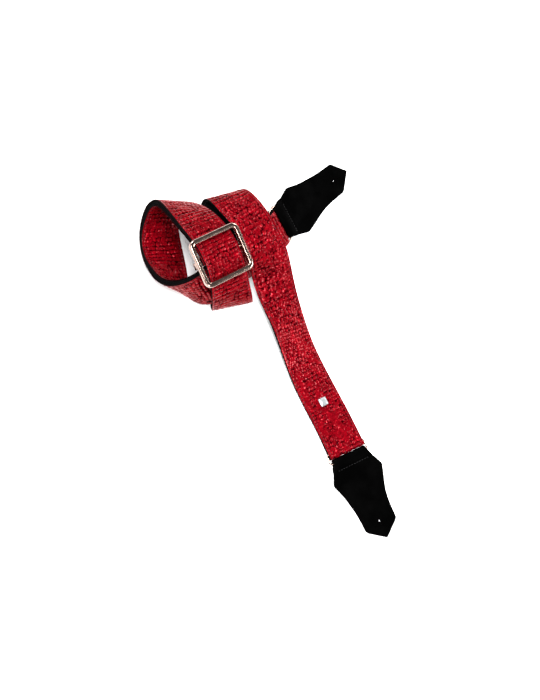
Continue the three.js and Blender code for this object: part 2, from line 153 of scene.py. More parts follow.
# Heights of each layer's middle over the route, as in the frame.
FACE_UP = (LINING + FACE + GAP) / 2 - FACE / 2
LINING_UP = -(LINING + FACE + GAP) / 2 + LINING / 2
RETURN_LINING_UP = LINING_UP - LINING - GAP
RETURN_FACE_UP = RETURN_LINING_UP - (LINING + FACE) / 2 - GAP
TAIL_UP = LINING_UP - (LINING + FACE) / 2 - GAP
FRONT_BAR_UP = (FACE_UP + TAIL_UP) / 2
FRONT_FOLD = (FACE_UP - TAIL_UP) / 2
REAR_FOLD = WIRE_RADIUS + GAP + LINING / 2
REAR_SPREAD = 2 * REAR_FOLD - (LINING_UP - RETURN_LINING_UP)
REAR_SPREAD_LENGTH = 0.034
REAR_BAR_UP = LINING_UP - REAR_FOLD
FACE_TOP = FACE_UP + FACE / 2
LINING_BOTTOM = LINING_UP - LINING / 2
LOOP_CLEAR = 0.0007
LOOP_TOP = LINING_BOTTOM - LOOP_CLEAR
CENTRE_BAR_UP = LOOP_TOP - FACE - GAP - CENTRE_BAR_RADIUS

# --- The route as a smooth curve ---------------------------------------------------


def unit(vectors):
    """Vectors scaled to a length of 1."""
    return vectors / np.linalg.norm(vectors, axis=-1, keepdims=True)


def smooth(values, low, high):
    """An eased step: 0 up to low, 1 from high on."""
    share = np.clip((values - low) / (high - low), 0, 1)
    return share * share * (3 - 2 * share)


def spline(stations, t):
    """A uniform cubic B-spline's value and slope at station numbers t."""
    ends = 2 * stations[[0, -1]] - stations[[1, -2]]
    padded = np.vstack([ends[:1], stations, ends[1:]])
    i = np.minimum(np.floor(t).astype(int), len(stations) - 2)
    u = (t - i)[:, None]
    weights = [(1 - u) ** 3, 3 * u**3 - 6 * u**2 + 4, -3 * u**3 + 3 * u**2 + 3 * u + 1, u**3]
    slopes = [-3 * (1 - u) ** 2, 9 * u**2 - 12 * u, -9 * u**2 + 6 * u + 3, 3 * u**2]
    value = sum(w * padded[i + k] for k, w in enumerate(weights)) / 6
    slope = sum(w * padded[i + k] for k, w in enumerate(slopes)) / 6
    return value, slope


stations = np.array(ROUTE)
CENTRES = stations[:, :3]
azimuth, elevation = np.radians(stations[:, 3:]).T
WIDTHS = np.column_stack(
    [np.cos(azimuth) * np.cos(elevation), np.sin(azimuth) * np.cos(elevation), np.sin(elevation)]
)
FINE = 24
fine_t = np.linspace(0, len(ROUTE) - 1, (len(ROUTE) - 1) * FINE + 1)
fine_steps = np.diff(spline(CENTRES, fine_t)[0], axis=0)
walked = np.concatenate([[0], np.cumsum(np.linalg.norm(fine_steps, axis=1))])
ROUTE_LENGTH = walked[-1]
shift = np.zeros(3)


def places(distance):
    """Point, along, width and outer normal at distances along the route."""
    distance = np.atleast_1d(np.asarray(distance, float))
    inside = np.clip(distance, 0, ROUTE_LENGTH)
    t = np.interp(inside, walked, fine_t)
    point, slope = spline(CENTRES, t)
    along = unit(slope)
    point = point + along * (distance - inside)[:, None] + shift
    width = spline(WIDTHS, t)[0]
    width = unit(width - along * (width * along).sum(1, keepdims=True))
    return point, along, width, np.cross(width, along)


def slider_matrix():
    """The slider's own frame: X along the strap, Z out of its face."""
    reach = SLIDER_LENGTH / 2 - SLIDER_BAR / 2
    points = places([SLIDER_AT - reach, SLIDER_AT, SLIDER_AT + reach])[0]
    width = places(SLIDER_AT)[2][0]
    along = unit(points[2] - points[0])
    width = unit(width - along * width.dot(along))
    return frame_of(points[1], along, np.cross(width, along))


def frame_of(origin, x_axis, z_axis):
    """A placement from an origin and two of its axes."""
    y_axis = np.cross(z_axis, x_axis)
    matrix = Matrix(np.column_stack([x_axis, y_axis, z_axis]).tolist()).to_4x4()
    matrix.translation = Vector(origin)
    return matrix


# The frame's origin is at its foot's middle, and the centre bar says how far that is.
bar_low, bar_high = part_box("slider_bar")
bar_on_route = slider_matrix() @ Vector((0, SLIDER_SIDEWAYS, CENTRE_BAR_UP))
shift = np.array((bar_low + bar_high) / 2 - bar_on_route)

# --- Paths of the strap's layers ---------------------------------------------------

STEP = 0.00075


def run(start, stop, up, side, step=STEP):
    """Sections of a layer at a height over the route; side -1 turns its outer face down."""
    count = int(round(abs(stop - start) / step)) + 1
    distance = np.linspace(start, stop, count)
    point, _, width, normal = places(distance)
    height = up(distance) if callable(up) else np.full(count, up)
    return point + normal * height[:, None], width, normal * side


def fold(distance, bar_up, radius, outwards, side, step=STEP):
    """Half a turn about a bar at one end of the route."""
    point, along, width, normal = places(distance)
    count = int(round(math.pi * radius / step))
    angle = np.linspace(0, math.pi, count + 1)[1:-1, None]
    out = normal * np.cos(angle) * side + along * np.sin(angle) * outwards
    return point + normal * bar_up + out * radius, np.repeat(width, len(out), 0), out


def joined(*parts):
    """Paths end to end as one path."""
    return tuple(np.concatenate(arrays) for arrays in zip(*parts))


def cut_path(path, first, last):
    """A path's sections from first up to last."""
    return tuple(array[first:last] for array in path)


def walked_along(path):
    """Distance along a path at each of its sections."""
    steps = np.linalg.norm(np.diff(path[0], axis=0), axis=1)
    return np.concatenate([[0], np.cumsum(steps)])


def spread(distance):
    """How far the return run hangs down where it comes near the rear ring."""
    return REAR_SPREAD * smooth(distance, ROUTE_LENGTH - REAR_SPREAD_LENGTH, ROUTE_LENGTH)


def return_face(distance):
    """Height of the return run's face over the route."""
    return RETURN_FACE_UP - spread(distance)


def return_lining(distance):
    """Height of the return run's lining over the route."""
    return RETURN_LINING_UP - spread(distance)


RETURN_SPLIT = SLIDER_AT + 0.060
LOOP_TAIL = 0.021


def paced(length):
    """Distances from 0 to a length, a step or so apart."""
    return np.linspace(0, length, int(round(length / STEP)) + 1)


def slider_arc(x, drop):
    """Sections in the slider's frame on the arc of the strap's end, x from its bar."""
    angle = x / ARC_RADIUS
    normal = np.column_stack([np.sin(angle), np.zeros(len(x)), np.cos(angle)])
    top = ARC_RADIUS + CENTRE_BAR_UP + CENTRE_BAR_RADIUS + GAP + FACE / 2
    point = normal * (top - drop)[:, None] - [0, 0, ARC_RADIUS]
    return point, np.tile([0.0, -1.0, 0.0], (len(x), 1)), normal


def in_row_frame(matrix, sections):
    """Sections moved from the slider's frame to the row's."""
    turn = np.array(matrix.to_3x3())
    point, width, normal = sections
    return point @ turn.T + np.array(matrix.translation), width @ turn.T, normal @ turn.T


def return_end():
    """The return run's last part, under the strap and round the slider's bar."""
    matrix = slider_matrix()
    radius = CENTRE_BAR_RADIUS + GAP + FACE / 2
    x = paced(RETURN_SPLIT - SLIDER_AT)[::-1]
    drop = 2 * radius - (2 * radius - FACE - GAP) * smooth(x, 0.002, 0.010)
    under = in_row_frame(matrix, slider_arc(x, drop))
    point, _, width, normal = places(SLIDER_AT + x)
    level = return_face(SLIDER_AT + x)[:, None]
    share = smooth(x, 0.013, 0.034)[:, None]
    under = (
        under[0] + (point + normal * level - under[0]) * share,
        unit(under[1] + (width - under[1]) * share),
        -unit(under[2] + (normal - under[2]) * share),
    )
    angle = np.linspace(0, math.pi, int(round(math.pi * radius / STEP)) + 1)[1:-1]
    out = np.column_stack([-np.sin(angle), np.zeros(len(angle)), -np.cos(angle)])
    turn = (out * radius + [0, 0, CENTRE_BAR_UP], np.tile([0.0, -1.0, 0.0], (len(angle), 1)), out)
    over_x = paced(LOOP_TAIL)
    over = in_row_frame(matrix, slider_arc(over_x, np.zeros(len(over_x))))
    return joined(under, in_row_frame(matrix, turn), over)


def askew(path, most):
    """A path shifted sideways, by the most at its start and by nothing at its end."""
    point, width, normal = path
    return point + width * np.linspace(most, 0, len(point))[:, None], width, normal


front_part = joined(
    askew(run(FRONT_TAIL, 0, TAIL_UP, -1), FRONT_TAIL_ASKEW),
    fold(0, FRONT_BAR_UP, FRONT_FOLD, -1, -1),
)
face_path = joined(
    front_part,
    run(0, ROUTE_LENGTH, FACE_UP, 1),
    fold(ROUTE_LENGTH, REAR_BAR_UP, FACE_UP - REAR_BAR_UP, 1, 1),
    run(ROUTE_LENGTH, RETURN_SPLIT, return_face, -1),
)
RING_ALONG = walked_along(face_path)[len(front_part[0])]
LINING_STEP = 0.0015
lining_path = joined(
    run(LINING_SET_BACK, ROUTE_LENGTH, LINING_UP, 1, LINING_STEP),
    fold(ROUTE_LENGTH, REAR_BAR_UP, REAR_FOLD, 1, 1, LINING_STEP),
    run(ROUTE_LENGTH, RETURN_SPLIT, return_lining, -1, LINING_STEP),
)
lining_end_path = run(RETURN_SPLIT, SLIDER_AT + RETURN_STOP, return_lining, -1, LINING_STEP)

# --- Embossed scales ---------------------------------------------------------------

# Distance from the front ring, the scales' size at the left and right edges, how much
# they keep to rows, and how many deep dimples lie among them at each edge.
SCALE_ZONES = np.array([
    (0.000, 0.0046, 0.0042, 0.55, 0.25, 0.30),
    (0.060, 0.0048, 0.0044, 0.50, 0.50, 0.40),
    (0.105, 0.0048, 0.0044, 0.50, 0.45, 0.60),
    (0.150, 0.0044, 0.0040, 0.55, 0.20, 0.35),
    (0.190, 0.0052, 0.0040, 0.50, 0.95, 0.10),
    (0.240, 0.0060, 0.0042, 0.50, 1.00, 0.30),
    (0.285, 0.0060, 0.0048, 0.50, 1.00, 0.75),
    (0.330, 0.0056, 0.0054, 0.75, 0.35, 0.55),
    (0.400, 0.0056, 0.0056, 0.80, 0.20, 0.20),
])
ROUND_OFF = 2.6
SCALE_TILT = 0.8
SCALE_CROWN = 0.4
DIMPLE_ACROSS = 0.0064
DIMPLE_ALONG = 1.35 * DIMPLE_ACROSS
DIMPLE_REACH = 0.006
SCALE_REACH = 0.014
BEND = 0.0008
FINE_BEND = 0.0002
GROOVE_DEPTH = 0.00060
CRUMPLE = 0.00022
ROW_PITCH = 0.0050
ROW_DEPTH = 0.00030
DIMPLE_DEPTH = 0.00105
DEEPEST = 0.00105
MARGIN = 0.0030
SEAM_DEPTH = 0.00022
SEAM_HALF_WIDTH = 0.0005
NOISE_ROWS, NOISE_COLUMNS = 1024, 64
NOISE_TABLE = np.random.default_rng(5).uniform(-1, 1, (NOISE_ROWS, NOISE_COLUMNS))


def zone_value(column, along, across):
    """A value of the zones at the left edge's column, eased over to the next column's."""
    left = np.interp(along, SCALE_ZONES[:, 0], SCALE_ZONES[:, column])
    right = np.interp(along, SCALE_ZONES[:, 0], SCALE_ZONES[:, column + 1])
    share = smooth(across, -0.15 * STRAP_WIDTH, 0.2 * STRAP_WIDTH)
    return left + (right - left) * share


def waves(along, across, size, start):
    """Smooth random heights from -1 to 1 over the strap, a size apart."""
    a, b = along / size + start, across / size + 32
    i, j = np.floor(a).astype(int), np.floor(b).astype(int)
    u, v = smooth(a - i, 0, 1), smooth(b - j, 0, 1)
    corner = [
        NOISE_TABLE[(i + k) % NOISE_ROWS, (j + m) % NOISE_COLUMNS] for k in (0, 1) for m in (0, 1)
    ]
    low = corner[0] + (corner[1] - corner[0]) * v
    high = corner[2] + (corner[3] - corner[2]) * v
    return low + (high - low) * u


def scales(length):
    """Rows of scales: place along and across, half lengths each way, tilts and tone."""
    draw = np.random.default_rng(11)
    rows = []
    at = -RING_ALONG - 0.01
    while at < length + 0.01:
        pitch = max(zone_value(1, at, -STRAP_WIDTH / 2), zone_value(1, at, STRAP_WIDTH / 2))
        loose = 1 - np.interp(at, SCALE_ZONES[:, 0], SCALE_ZONES[:, 3])
        across = -STRAP_WIDTH / 2 - pitch * draw.uniform(0.1, 0.9)
        while across < STRAP_WIDTH / 2 + pitch:
            local = zone_value(1, at, across) * draw.uniform(0.66, 1.15)
            parts = max(1, int(round(pitch / local + 0.25 * draw.normal())))
            for k in range(parts):
                place = at + pitch * ((k + 0.5) / parts - 0.5)
                place += pitch * (0.05 + 0.22 * loose) * draw.normal()
                side = across + local * (0.10 + 0.16 * loose) * draw.normal()
                side += (k % 2) * 0.5 * local
                stretch = draw.uniform(0.85, 1.2)
                sizes = (pitch / parts / stretch, local * stretch)
                rows.append((place, side, *sizes, *draw.normal(0, 1, 3)))
            across += local
        at += pitch * draw.uniform(0.90, 1.10)
    rows = np.array(rows)
    rows[:, 0] += RING_ALONG
    return rows[np.argsort(rows[:, 0])]


def dimples(length):
    """Deep dimples: place along and across, half lengths each way, slant and depth."""
    draw = np.random.default_rng(23)
    rows = []
    for at in np.arange(-RING_ALONG, length, DIMPLE_ALONG):
        for across in np.arange(-0.43 * STRAP_WIDTH, 0.45 * STRAP_WIDTH, DIMPLE_ACROSS):
            share = zone_value(4, at, across)
            if draw.uniform() > share:
                continue
            place = at + RING_ALONG + 0.14 * DIMPLE_ACROSS * draw.normal()
            side = across + 0.12 * DIMPLE_ACROSS * draw.normal()
            wide = draw.uniform(0.0011, 0.0016) * (0.8 + 0.35 * share)
            long = wide * draw.uniform(1.2, 1.8)
            rows.append((place, side, long, wide, draw.normal(), 0.5 + 0.5 * share))
    rows = np.array(rows)
    return rows[np.argsort(rows[:, 0])]


PATTERN_LENGTH = walked_along(face_path)[-1] + 0.12
ALL_SCALES = scales(PATTERN_LENGTH)
ALL_DIMPLES = dimples(PATTERN_LENGTH)


def scale_relief(along, across):
    """Rise from 0 in the grooves to 1 on the scales, their tilts and their tone."""
    plateau, tilt, tone = np.zeros((3, *along.shape))
    lows = np.searchsorted(ALL_SCALES[:, 0], along.min(1) - SCALE_REACH)
    highs = np.searchsorted(ALL_SCALES[:, 0], along.max(1) + SCALE_REACH)
    columns = np.arange(along.shape[1])
    for i, (low, high) in enumerate(zip(lows, highs)):
        near = ALL_SCALES[low:high]
        off_along = (along[i][:, None] - near[:, 0]) / near[:, 2]
        off_across = (across[i][:, None] - near[:, 1]) / near[:, 3]
        away = np.abs(off_along) ** ROUND_OFF + np.abs(off_across) ** ROUND_OFF
        away = away ** (1 / ROUND_OFF)
        nearest = np.argpartition(away, 1, axis=1)[:, :2]
        pair = np.take_along_axis(away, nearest, 1)
        own = nearest[columns, np.argmin(pair, axis=1)]
        first, second = pair.min(1), pair.max(1)
        border = (second - first) / (second + first)
        plateau[i] = smooth(border, 0.0, 0.34)
        lean = off_along[columns, own] * (0.40 + 0.45 * near[own, 4])
        lean = lean + off_across[columns, own] * 0.5 * near[own, 5]
        tilt[i] = SCALE_CROWN * (1 - np.clip(2 * first, 0, 1) ** 2) + SCALE_TILT * lean
        tone[i] = near[own, 6]
    return plateau, tilt, tone


def dimple_share(along, across):
    """How deep in a dimple each point is, from 0 to 1."""
    deep = np.zeros_like(along)
    for at, side, long, wide, slant, depth in ALL_DIMPLES:
        low, high = np.searchsorted(along[:, 0], (at - DIMPLE_REACH, at + DIMPLE_REACH))
        if low == high:
            continue
        a, b = along[low:high] - at, across[low:high] - side
        away = ((a + 0.4 * slant * b) / long) ** 2 + (b / wide) ** 2
        deep[low:high] = np.maximum(deep[low:high], depth * np.exp(-away))
    return deep


def emboss(along, across):
    """Height of the embossed face, its rise with painted shade in the grooves, dimples, hollows,
    row troughs and stitch groove, and its scale's tone.
    """
    a, b = np.meshgrid(along, across, indexing="ij")
    bent_a = a + BEND * waves(a, b, 0.0090, 0) + FINE_BEND * waves(a, b, 0.0029, 300)
    bent_b = b + BEND * waves(a, b, 0.0095, 150) + FINE_BEND * waves(a, b, 0.0031, 450)
    plateau, tilt, tone = scale_relief(bent_a, bent_b)
    open_groove = 0.30 + 0.70 * smooth(waves(a, b, 0.0048, 600), -0.55, 0.30)
    relief_and_painted_shade = 1 - (1 - plateau) * open_groove
    crumple = 0.65 * waves(a, b, 0.0019, 700) + 0.35 * waves(a, b, 0.0046, 800)
    deep = dimple_share(a, b)
    in_rows = np.interp(along - RING_ALONG, SCALE_ZONES[:, 0], SCALE_ZONES[:, 3])[:, None]
    wobble = 1.3 * waves(a, b, 0.013, 900) + 0.5 * waves(a, b, 0.005, 950)
    row = in_rows * np.sin(2 * math.pi * a / ROW_PITCH + wobble)
    height = GROOVE_DEPTH * (relief_and_painted_shade * (0.75 + tilt) - 0.9) + CRUMPLE * crumple
    height = height - DIMPLE_DEPTH * deep + ROW_DEPTH * row
    # Painted shade: the colour darkens in grooves, dimples, crumple hollows and row troughs.
    shade = relief_and_painted_shade * (1 - 0.85 * smooth(deep, 0.15, 0.85))
    shade = shade * (0.80 + 0.20 * smooth(crumple, -0.6, 0.4))
    shade = shade * (1 - 0.55 * smooth(-row, 0.25, 0.75))
    inner = STRAP_WIDTH / 2 - np.abs(across)
    strength = 0.55 + 0.45 * smooth(inner, MARGIN - 0.0008, MARGIN + 0.0012)
    seam = np.exp(-(((inner - MARGIN) / SEAM_HALF_WIDTH) ** 2))
    height = height * strength - SEAM_DEPTH * seam - 0.00012 * (1 - strength)
    # The margin keeps less of the painted shade; the stitch groove gets painted shade of its own.
    shade = 1 - (1 - shade) * strength
    return np.maximum(height, -DEEPEST), shade * (1 - 0.45 * seam), tone


# --- Meshes ------------------------------------------------------------------------


def add_object(name, vertices, faces, material, attributes=None):
    """A smooth-shaded object in the scene, with values at its points."""
    mesh = bpy.data.meshes.new(name)
    mesh.from_pydata(np.asarray(vertices).tolist(), [], [list(f) for f in faces])
    mesh.update()
    mesh.materials.append(material)
    mesh.shade_smooth()
    for key, values in (attributes or {}).items():
        data = mesh.attributes.new(key, "FLOAT", "POINT").data
        data.foreach_set("value", np.asarray(values, np.float32).ravel())
    piece = bpy.data.objects.new(name, mesh)
    bpy.context.scene.collection.objects.link(piece)
    return piece


def grid_faces(rows, size, first=0, closed_rows=False):
    """Quads of a tube of rows of size points each, and its two ends."""
    i = np.arange(rows if closed_rows else rows - 1)[:, None]
    k = np.arange(size)[None, :]
    after, beside = (i + 1) % rows, (k + 1) % size
    quads = np.stack(
        [i * size + k, i * size + beside, after * size + beside, after * size + k], -1
    )
    faces = (quads.reshape(-1, 4) + first).tolist()
    if not closed_rows:
        faces.append((np.arange(size)[::-1] + first).tolist())
        faces.append((np.arange(size) + first + (rows - 1) * size).tolist())
    return faces


def strip_piece(name, path, half, thickness, columns, material, surface=None, edge=0.0005):
    """A closed strip along a path, with rounded edges and, given a surface, relief on top."""
    point, width, normal = path
    count = len(point)
    half = np.broadcast_to(half, count)
    top = np.linspace(-1, 1, columns)
    bottom = np.linspace(1, -1, 9)
    bend = np.radians([60, 20, -20, -60])
    reach = half - edge
    top_height, relief_and_painted_shade, tone = np.zeros((3, count, columns))
    if surface:
        top_height, relief_and_painted_shade, tone = surface(reach[0] * top)
    across = np.concatenate([
        reach[:, None] * top,
        reach[:, None] + edge * np.cos(bend),
        reach[:, None] * bottom,
        -reach[:, None] - edge * np.cos(bend),
    ], axis=1)
    side_height = np.tile(thickness / 2 * np.sin(bend), (count, 1))
    height = np.concatenate([
        top_height + thickness / 2,
        side_height,
        np.full((count, len(bottom)), -thickness / 2),
        side_height[:, ::-1],
    ], axis=1)
    vertices = (
        point[:, None] + width[:, None] * across[..., None] + normal[:, None] * height[..., None]
    )
    size = across.shape[1]
    rest = size - columns
    attributes = {
        # The face's rise, with its painted shade in grooves, dimples and row troughs.
        "relief_and_painted_shade": np.pad(relief_and_painted_shade, ((0, 0), (0, rest)), constant_values=0.6),
        "tone": np.pad(tone, ((0, 0), (0, rest))),
        "outer": np.pad(np.ones_like(relief_and_painted_shade), ((0, 0), (0, rest))),
    }
    faces = grid_faces(count, size)
    return add_object(name, vertices.reshape(-1, 3), faces, material, attributes)


def circle(sides):
    """Points of a round section of radius 1."""
    turn = np.linspace(0, 2 * math.pi, sides, endpoint=False)
    return np.column_stack([np.cos(turn), np.sin(turn)])


def squared(section, power):
    """A round section drawn out towards a square."""
    return np.sign(section) * np.abs(section) ** power


def swept(centres, outs, ups, section):
    """A section set at each centre, in the plane of its two directions."""
    out, up = section.T
    return (
        centres[:, None] + outs[:, None] * out[None, :, None] + ups[:, None] * up[None, :, None]
    )


def rounded_frame(name, length, width, corner, steps, section, height=0.0):
    """A bar bent to a rounded rectangle, so many sections to a corner."""
    points, outs = [], []
    for k, (x, y) in enumerate([(-1, -1), (1, -1), (1, 1), (-1, 1)]):
        angle = math.pi + (k + np.linspace(0, 1, steps)) * math.pi / 2
        out = np.column_stack([np.cos(angle), np.sin(angle), np.zeros(steps)])
        outs.append(out)
        middle = [x * (length / 2 - corner), y * (width / 2 - corner), height]
        points.append(middle + out * corner)
    ups = np.tile([0.0, 0.0, 1.0], (4 * steps, 1))
    rings = swept(np.concatenate(points), np.concatenate(outs), ups, section)
    faces = grid_faces(len(rings), len(section), closed_rows=True)
    return add_object(name, rings.reshape(-1, 3), faces, NICKEL)


def fasten(piece, matrix, body, node=None):
    """Puts a piece in its place on a body, instead of the frame's node if one is given."""
    piece.data.transform(matrix)
    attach(piece, body)
    if node:
        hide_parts(node)


def seam_stitches(name, path, across, lift, radius, material, pitch=0.0039, span=0.0031):
    """Two rows of stitches beside the strap's edges, each a short bowed thread."""
    at = walked_along(path)
    starts = np.arange(pitch / 2, at[-1] - pitch, pitch)
    sides, rings = 6, 5
    share = np.linspace(0, 1, rings)
    bow = np.array([-0.9, 0.35, 0.6, 0.35, -0.9]) * radius
    thick = np.array([0.6, 1, 1, 1, 0.6]) * radius
    vertices, faces = [], []
    for side in (-1, 1):
        for start in starts:
            where = start + span * share
            point, width, normal = (
                np.column_stack([np.interp(where, at, array[:, k]) for k in range(3)])
                for array in path
            )
            centres = point + width * across * side + normal * (lift + bow)[:, None]
            round_here = swept(centres, unit(width), unit(normal), circle(sides))
            round_here = centres[:, None] + (round_here - centres[:, None]) * thick[:, None, None]
            faces += grid_faces(rings, sides, first=len(vertices) * sides)
            vertices += list(round_here)
    return add_object(name, np.concatenate(vertices), faces, material)


# --- Materials ---------------------------------------------------------------------


def new_material(name):
    """A node material, with its nodes, links and shader."""
    material = bpy.data.materials.new(name)
    material.use_nodes = True
    tree = material.node_tree
    return material, tree.nodes, tree.links, tree.nodes["Principled BSDF"]


def mixed_colour(nodes, links, factor, dark, light, blend="MIX"):
    """A colour from dark to light by a factor; each may be a socket or a constant."""
    mix = nodes.new("ShaderNodeMix")
    mix.data_type = "RGBA"
    mix.blend_type = blend
    for key, colour in (("A", dark), ("B", light)):
        if isinstance(colour, tuple):
            mix.inputs[key].default_value = (*colour, 1)
        else:
            links.new(colour, mix.inputs[key])
    if isinstance(factor, (int, float)):
        mix.inputs["Factor"].default_value = factor
    else:
        links.new(factor, mix.inputs["Factor"])
    return mix.outputs["Result"]


def combined(nodes, links, operation, first, second):
    """Two values added or multiplied."""
    node = nodes.new("ShaderNodeMath")
    node.operation = operation
    links.new(first, node.inputs[0])
    links.new(second, node.inputs[1])
    return node.outputs["Value"]


def noise(nodes, links, scale, detail=3, roughness=0.6):
    """Soft noise over the object."""
    place = nodes.new("ShaderNodeTexCoord").outputs["Object"]
    texture = nodes.new("ShaderNodeTexNoise")
    texture.inputs["Scale"].default_value = scale
    texture.inputs["Detail"].default_value = detail
    texture.inputs["Roughness"].default_value = roughness
    links.new(place, texture.inputs["Vector"])
    return texture.outputs["Fac"]


def cells(nodes, links, scale):
    """Distance to the borders of random cells."""
    place = nodes.new("ShaderNodeTexCoord").outputs["Object"]
    texture = nodes.new("ShaderNodeTexVoronoi")
    texture.feature = "DISTANCE_TO_EDGE"
    texture.inputs["Scale"].default_value = scale
    links.new(place, texture.inputs["Vector"])
    return texture.outputs["Distance"]


def ranged(nodes, links, value, low, high, to_low, to_high):
    """A value between low and high carried over to another range."""
    scale = nodes.new("ShaderNodeMapRange")
    limits = {"From Min": low, "From Max": high, "To Min": to_low, "To Max": to_high}
    for key, number in limits.items():
        scale.inputs[key].default_value = number
    links.new(value, scale.inputs["Value"])
    return scale.outputs["Result"]


def bumped(nodes, links, shader, height, strength, distance, before=None):
    """Small relief on a shader, over what went before."""
    bump = nodes.new("ShaderNodeBump")
    bump.inputs["Strength"].default_value = strength
    bump.inputs["Distance"].default_value = distance
    links.new(height, bump.inputs["Height"])
    if before is not None:
        links.new(before, bump.inputs["Normal"])
    links.new(bump.outputs["Normal"], shader.inputs["Normal"])
    return bump.outputs["Normal"]


def attribute(nodes, name):
    """A value stored at the mesh's points."""
    node = nodes.new("ShaderNodeAttribute")
    node.attribute_name = name
    return node.outputs["Fac"]


EDGE_PAINT = (0.004, 0.001, 0.0012)
# Painted shade for the grooves, dimples and row troughs.
GROOVE_PAINTED_SHADE = (0.016, 0.0001, 0.0005)
DARK_SCALE = (0.19, 0.0003, 0.0040)
LIGHT_SCALE = (0.33, 0.0007, 0.0070)
RED_SHEEN = (1.0, 0.12, 0.17)


def scale_colour(nodes, links, relief_and_painted_shade, outer, cracks):
    """Painted shade in the grooves, dimples and row troughs, tone from scale to scale, black paint
    on the edges.
    """
    tone = ranged(nodes, links, attribute(nodes, "tone"), -2, 2, 0, 1)
    tops = mixed_colour(nodes, links, tone, DARK_SCALE, LIGHT_SCALE)
    raised = ranged(nodes, links, relief_and_painted_shade, 0.1, 0.95, 0, 1)
    # Painted shade: darker red where the face lies low, by the stored rise and shade.
    groove_shaded = mixed_colour(nodes, links, raised, GROOVE_PAINTED_SHADE, tops)
    crack = ranged(nodes, links, cracks, 0.0, 0.20, 0.45, 1.0)
    cloud = ranged(nodes, links, noise(nodes, links, 60, 4), 0.35, 0.65, 0.8, 1.0)
    darker = combined(nodes, links, "MULTIPLY", crack, cloud)
    shade = mixed_colour(nodes, links, darker, (0.0,) * 3, (1.0,) * 3)
    clouded = mixed_colour(nodes, links, 1.0, groove_shaded, shade, "MULTIPLY")
    return mixed_colour(nodes, links, outer, EDGE_PAINT, clouded)


def embossed_leather():
    """Glossy red leather with fine cracks and pores, with painted shade in its grooves, dull in its
    grooves and on its edges.
    """
    material, nodes, links, shader = new_material("embossed_red_leather")
    # The stored rise carries the painted shade of grooves, dimples and row troughs into the colour,
    # and the rise into gloss.
    relief_and_painted_shade, outer = attribute(nodes, "relief_and_painted_shade"), attribute(nodes, "outer")
    cracks, pores = cells(nodes, links, 430), noise(nodes, links, 1400, 4, 0.7)
    links.new(scale_colour(nodes, links, relief_and_painted_shade, outer, cracks), shader.inputs["Base Color"])
    polish = ranged(nodes, links, relief_and_painted_shade, 0.2, 0.9, 0.55, 0.24)
    worn = ranged(nodes, links, pores, 0.3, 0.7, -0.06, 0.06)
    links.new(combined(nodes, links, "ADD", polish, worn), shader.inputs["Roughness"])
    shine = ranged(nodes, links, relief_and_painted_shade, 0.2, 0.95, 0.0, 0.13)
    faced = ranged(nodes, links, outer, 0, 1, 0.1, 1)
    shine = combined(nodes, links, "MULTIPLY", shine, faced)
    links.new(shine, shader.inputs["Specular IOR Level"])
    shader.inputs["Specular Tint"].default_value = (*RED_SHEEN, 1)
    lustre = ranged(nodes, links, relief_and_painted_shade, 0.2, 0.95, 0.0, 0.50)
    links.new(combined(nodes, links, "MULTIPLY", lustre, outer), shader.inputs["Metallic"])
    fine = bumped(nodes, links, shader, pores, 0.25, 0.0001)
    bumped(nodes, links, shader, cracks, 0.35, 0.0006, fine)
    varnish = ranged(nodes, links, relief_and_painted_shade, 0.55, 1.0, 0.0, 0.28)
    links.new(varnish, shader.inputs["Coat Weight"])
    shader.inputs["Coat Roughness"].default_value = 0.15
    return material


def suede(name, colour):
    """Matt leather with a short nap."""
    material, nodes, links, shader = new_material(name)
    nap = noise(nodes, links, 900, 5, 0.75)
    lighter = tuple(c * 2.2 for c in colour)
    raised = ranged(nodes, links, nap, 0.35, 0.7, 0, 1)
    colours = mixed_colour(nodes, links, raised, colour, lighter)
    links.new(colours, shader.inputs["Base Color"])
    shader.inputs["Roughness"].default_value = 0.92
    shader.inputs["Specular IOR Level"].default_value = 0.03
    bumped(nodes, links, shader, nap, 0.6, 0.0003)
    return material


def tab_leather():
    """Smooth black leather with a faint grain."""
    material, nodes, links, shader = new_material("smooth_black_leather")
    grain = cells(nodes, links, 1100)
    wear = noise(nodes, links, 45, 5)
    worn = ranged(nodes, links, wear, 0.4, 0.7, 0, 1)
    colours = mixed_colour(nodes, links, worn, (0.0002,) * 3, (0.0007,) * 3)
    links.new(colours, shader.inputs["Base Color"])
    links.new(ranged(nodes, links, wear, 0.3, 0.7, 0.40, 0.50), shader.inputs["Roughness"])
    shader.inputs["Specular IOR Level"].default_value = 0.005
    fine = bumped(nodes, links, shader, grain, 0.2, 0.00015)
    bumped(nodes, links, shader, noise(nodes, links, 160, 3), 0.15, 0.0008, fine)
    return material


def polished_metal(name, colour, roughness, scratch):
    """Plated metal, smeared by handling."""
    material, nodes, links, shader = new_material(name)
    smear = noise(nodes, links, 70, 4)
    duller = tuple(c * 0.82 for c in colour)
    links.new(mixed_colour(nodes, links, smear, duller, colour), shader.inputs["Base Color"])
    shader.inputs["Metallic"].default_value = 1.0
    smeared = ranged(nodes, links, smear, 0.3, 0.7, roughness, roughness + scratch)
    links.new(smeared, shader.inputs["Roughness"])
    bumped(nodes, links, shader, noise(nodes, links, 90, 2), 0.01, 0.0001)
    return material


def thread(name, colour):
    """Twisted sewing thread."""
    material, nodes, links, shader = new_material(name)
    twist = noise(nodes, links, 2600, 2)
    darker = tuple(c * 0.5 for c in colour)
    links.new(mixed_colour(nodes, links, twist, darker, colour), shader.inputs["Base Color"])
    shader.inputs["Roughness"].default_value = 0.7
    bumped(nodes, links, shader, twist, 0.5, 0.0002)
    return material


